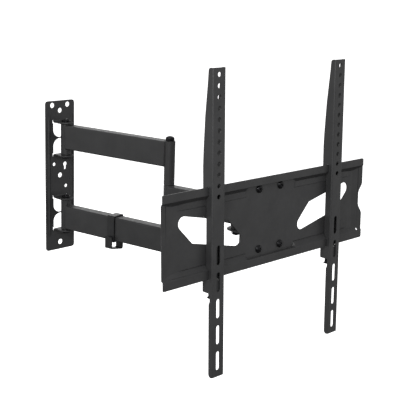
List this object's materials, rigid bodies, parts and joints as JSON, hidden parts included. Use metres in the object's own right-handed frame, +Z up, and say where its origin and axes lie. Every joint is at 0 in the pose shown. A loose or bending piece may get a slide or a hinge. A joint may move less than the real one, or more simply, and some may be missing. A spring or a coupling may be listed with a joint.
{
  "type": "tv wall mount",
  "caption": "Articulating TV wall mount: narrow wall plate, folding tube arms, swivel and tilt head, wide pressed plate and upright slotted brackets with locking screws.",
  "frame": {"origin": "on the wall plate's back face, on its centre line, 11 mm below the centre screw hole", "axes": "+Y into the wall, +Z up, +X to the right of someone facing the wall; the arms reach out along -Y"},
  "size_m": [0.434, 0.4481, 0.4322],
  "materials": {
    "powder_coat": "satin black powder coat with a fine texture",
    "bracket_coat": "satin black powder coat with a fine texture",
    "black_screw": "glossy black",
    "zinc_bolt": "dull zinc",
    "nylon": "smooth black nylon",
    "clip_plastic": "smooth black moulded plastic"
  },
  "bodies": {
    "wall": {"wall_plate": "powder_coat", "upper_pivot_bolt": "black_screw", "lower_pivot_bolt": "black_screw", "upper_pivot_nut": "black_screw", "lower_pivot_nut": "black_screw"},
    "inner_arm": {"upper_arm": "powder_coat", "lower_arm": "powder_coat", "upper_outside_bush": "nylon", "upper_inside_bush": "nylon", "lower_outside_bush": "nylon", "lower_inside_bush": "nylon", "elbow_bolt": "black_screw", "elbow_nut": "black_screw"},
    "cable_clip": {"cable_clip": "clip_plastic"},
    "outer_arm": {"outer_arm": "powder_coat", "upper_elbow_washer": "nylon", "lower_elbow_washer": "nylon", "upper_swivel_bush": "nylon", "lower_swivel_bush": "nylon"},
    "swivel_head": {"swivel_bracket": "powder_coat", "swivel_bolt": "black_screw", "swivel_nut": "black_screw", "left_tilt_washer": "nylon", "right_tilt_washer": "nylon"},
    "tv_head": {"tilt_bracket": "powder_coat", "tilt_bolt": "black_screw", "tilt_nut": "black_screw", "tv_plate": "powder_coat", "plate_screw_upper_left": "black_screw", "plate_screw_upper_right": "black_screw", "plate_screw_lower_left": "black_screw", "plate_screw_lower_right": "black_screw", "plate_nut_upper_left": "zinc_bolt", "plate_nut_upper_right": "zinc_bolt", "plate_nut_lower_left": "zinc_bolt", "plate_nut_lower_right": "zinc_bolt"},
    "left_bracket": {"left_bracket": "bracket_coat", "left_lock_block": "powder_coat"},
    "right_bracket": {"right_bracket": "bracket_coat", "right_lock_block": "powder_coat"},
    "left_lock_screw": {"left_lock_screw": "black_screw"},
    "right_lock_screw": {"right_lock_screw": "black_screw"}
  },
  "joints": [
    {"name": "wall_pivot", "type": "hinge", "parent": "wall", "child": "inner_arm", "pos_m": [0, -0.0185, 0.011], "axis": [0, 0, 1], "range_deg": [-100.8, 79.2]},
    {"name": "clip_slide", "type": "slide", "parent": "inner_arm", "child": "cable_clip", "axis": [0.1874, -0.9823, 0], "range_m": [-0.068, 0.078]},
    {"name": "elbow", "type": "hinge", "parent": "inner_arm", "child": "outer_arm", "pos_m": [0.04122, -0.2346, 0.011], "axis": [0, 0, -1], "range_deg": [-120, 120]},
    {"name": "head_swivel", "type": "hinge", "parent": "outer_arm", "child": "swivel_head", "pos_m": [0.0653, -0.36083, 0.011], "axis": [0, 0, 1], "range_deg": [-79.2, 100.8]},
    {"name": "head_tilt", "type": "hinge", "parent": "swivel_head", "child": "tv_head", "pos_m": [0.0653, -0.40283, 0.011], "axis": [1, 0, 0], "range_deg": [-2.6, 17.4]},
    {"name": "left_bracket_slide", "type": "slide", "parent": "tv_head", "child": "left_bracket", "axis": [1, 0, 0], "range_m": [-0.063, 0.067]},
    {"name": "right_bracket_slide", "type": "slide", "parent": "tv_head", "child": "right_bracket", "axis": [1, 0, 0], "range_m": [-0.09, 0.043]},
    {"name": "left_lock_travel", "type": "slide", "parent": "left_bracket", "child": "left_lock_screw", "axis": [0, -0.0419, -0.9991], "range_m": [0, 0.01]},
    {"name": "right_lock_travel", "type": "slide", "parent": "right_bracket", "child": "right_lock_screw", "axis": [0, -0.0419, -0.9991], "range_m": [0, 0.01]}
  ]
}
